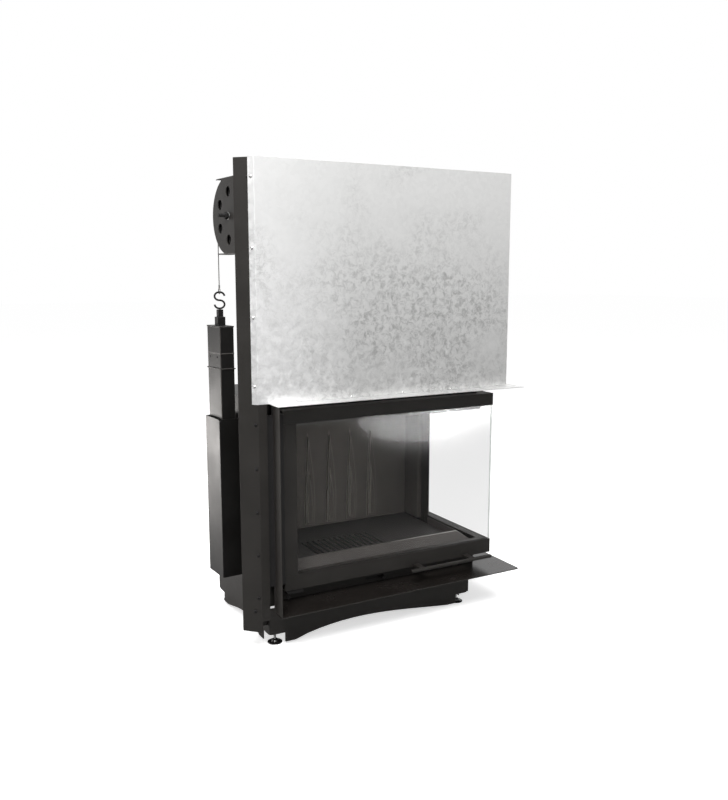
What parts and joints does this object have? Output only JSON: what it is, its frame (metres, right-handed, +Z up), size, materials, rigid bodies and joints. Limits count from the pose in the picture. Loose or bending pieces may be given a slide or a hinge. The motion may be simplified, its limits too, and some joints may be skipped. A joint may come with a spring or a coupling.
{
  "type": "wood-burning fireplace insert",
  "caption": "Wood-burning fireplace insert: arched plinth, corner glass door that lifts on wire ropes and counterweights behind a galvanised casing, smoke dome and flue collar.",
  "frame": {"origin": "Middle of the whole part's box, at floor level.", "axes": "+X to the right along the front, +Y from the front into the wall, +Z up."},
  "size_m": [0.9554, 0.6484, 1.412],
  "materials": {
    "black_steel": "satin heat-proof black",
    "deep_black": "matt black",
    "galvanised": "spangled zinc coating",
    "zinc_steel": "zinc plated",
    "chrome": "bright",
    "cast_weight": "dark painted casting",
    "lining": "fired, sooted grey",
    "cast_iron": "raw cast",
    "clear_glass": "clear ceramic"
  },
  "bodies": {
    "frame": {"plinth_front": "black_steel", "plinth_frame": "black_steel", "foot_front_left": "chrome", "foot_front_right": "chrome", "foot_rear_left": "chrome", "foot_rear_right": "chrome", "left_column": "black_steel", "rear_column": "black_steel", "front_cover": "galvanised", "side_cover": "galvanised", "top_rail": "black_steel", "casing_lip": "galvanised", "left_flange": "black_steel", "shelf_plate": "black_steel", "shell_floor": "black_steel", "shell_walls": "black_steel", "shell_lintel": "black_steel", "lower_fascia": "black_steel", "shell_top": "black_steel", "smoke_dome": "black_steel", "flue_collar": "black_steel", "air_inlet": "black_steel", "back_lining": "lining", "left_lining": "lining", "right_lining": "lining", "baffle": "lining", "hearth": "lining", "hearth_rim": "black_steel", "grate": "cast_iron", "ash_pan": "zinc_steel", "left_bracket": "black_steel", "rear_bracket": "black_steel", "left_axle": "zinc_steel", "rear_axle": "zinc_steel", "left_housing": "black_steel", "rear_housing": "black_steel", "left_rope_wrap": "zinc_steel", "rear_rope_wrap": "zinc_steel", "left_rope_weight_run": "zinc_steel", "rear_rope_weight_run": "zinc_steel", "left_rope_door_run": "zinc_steel", "rear_rope_door_run": "zinc_steel"},
    "door": {"door_top_bar": "black_steel", "door_bottom_bar": "black_steel", "left_stile": "black_steel", "rear_stile": "black_steel", "front_glass": "clear_glass", "side_glass": "clear_glass", "door_handle": "black_steel", "hinge_bracket": "black_steel", "left_arm": "deep_black", "rear_arm": "deep_black"},
    "left_counterweight": {"left_weight": "cast_weight", "left_hook": "zinc_steel"},
    "rear_counterweight": {"rear_weight": "cast_weight", "rear_hook": "zinc_steel"},
    "left_wheel": {"left_pulley": "cast_weight"},
    "rear_wheel": {"rear_pulley": "cast_weight"},
    "air_control": {"air_slider": "zinc_steel"}
  },
  "joints": [
    {"name": "door_lift", "type": "slide", "parent": "frame", "child": "door", "axis": [0, 0, 1], "range_m": [0, 0.44], "deforming": ["left_rope_door_run", "rear_rope_door_run"]},
    {"name": "left_weight_drop", "type": "slide", "parent": "frame", "child": "left_counterweight", "axis": [0, 0, 1], "range_m": [-0.44, 0], "deforming": ["left_rope_weight_run"]},
    {"name": "rear_weight_drop", "type": "slide", "parent": "frame", "child": "rear_counterweight", "axis": [0, 0, 1], "range_m": [-0.44, 0], "deforming": ["rear_rope_weight_run"]},
    {"name": "left_pulley_turn", "type": "hinge", "parent": "frame", "child": "left_wheel", "pos_m": [-0.43364, -0.12246, 1.2618], "axis": [0.9976, 0.0698, 0], "range_deg": [-245, 0]},
    {"name": "rear_pulley_turn", "type": "hinge", "parent": "frame", "child": "rear_wheel", "pos_m": [0.30646, 0.28014, 1.2618], "axis": [-0.0698, -0.9976, 0], "range_deg": [0, 245]},
    {"name": "air_slide", "type": "slide", "parent": "frame", "child": "air_control", "axis": [1, 0, 0], "range_m": [-0.04, 0]}
  ],
  "couplings": [
    {"joint": "left_weight_drop", "follows": "door_lift", "ratio": -1},
    {"joint": "rear_weight_drop", "follows": "door_lift", "ratio": -1},
    {"joint": "left_pulley_turn", "follows": "door_lift", "rad_per_m": -9.7087},
    {"joint": "rear_pulley_turn", "follows": "door_lift", "rad_per_m": 9.7087}
  ]
}
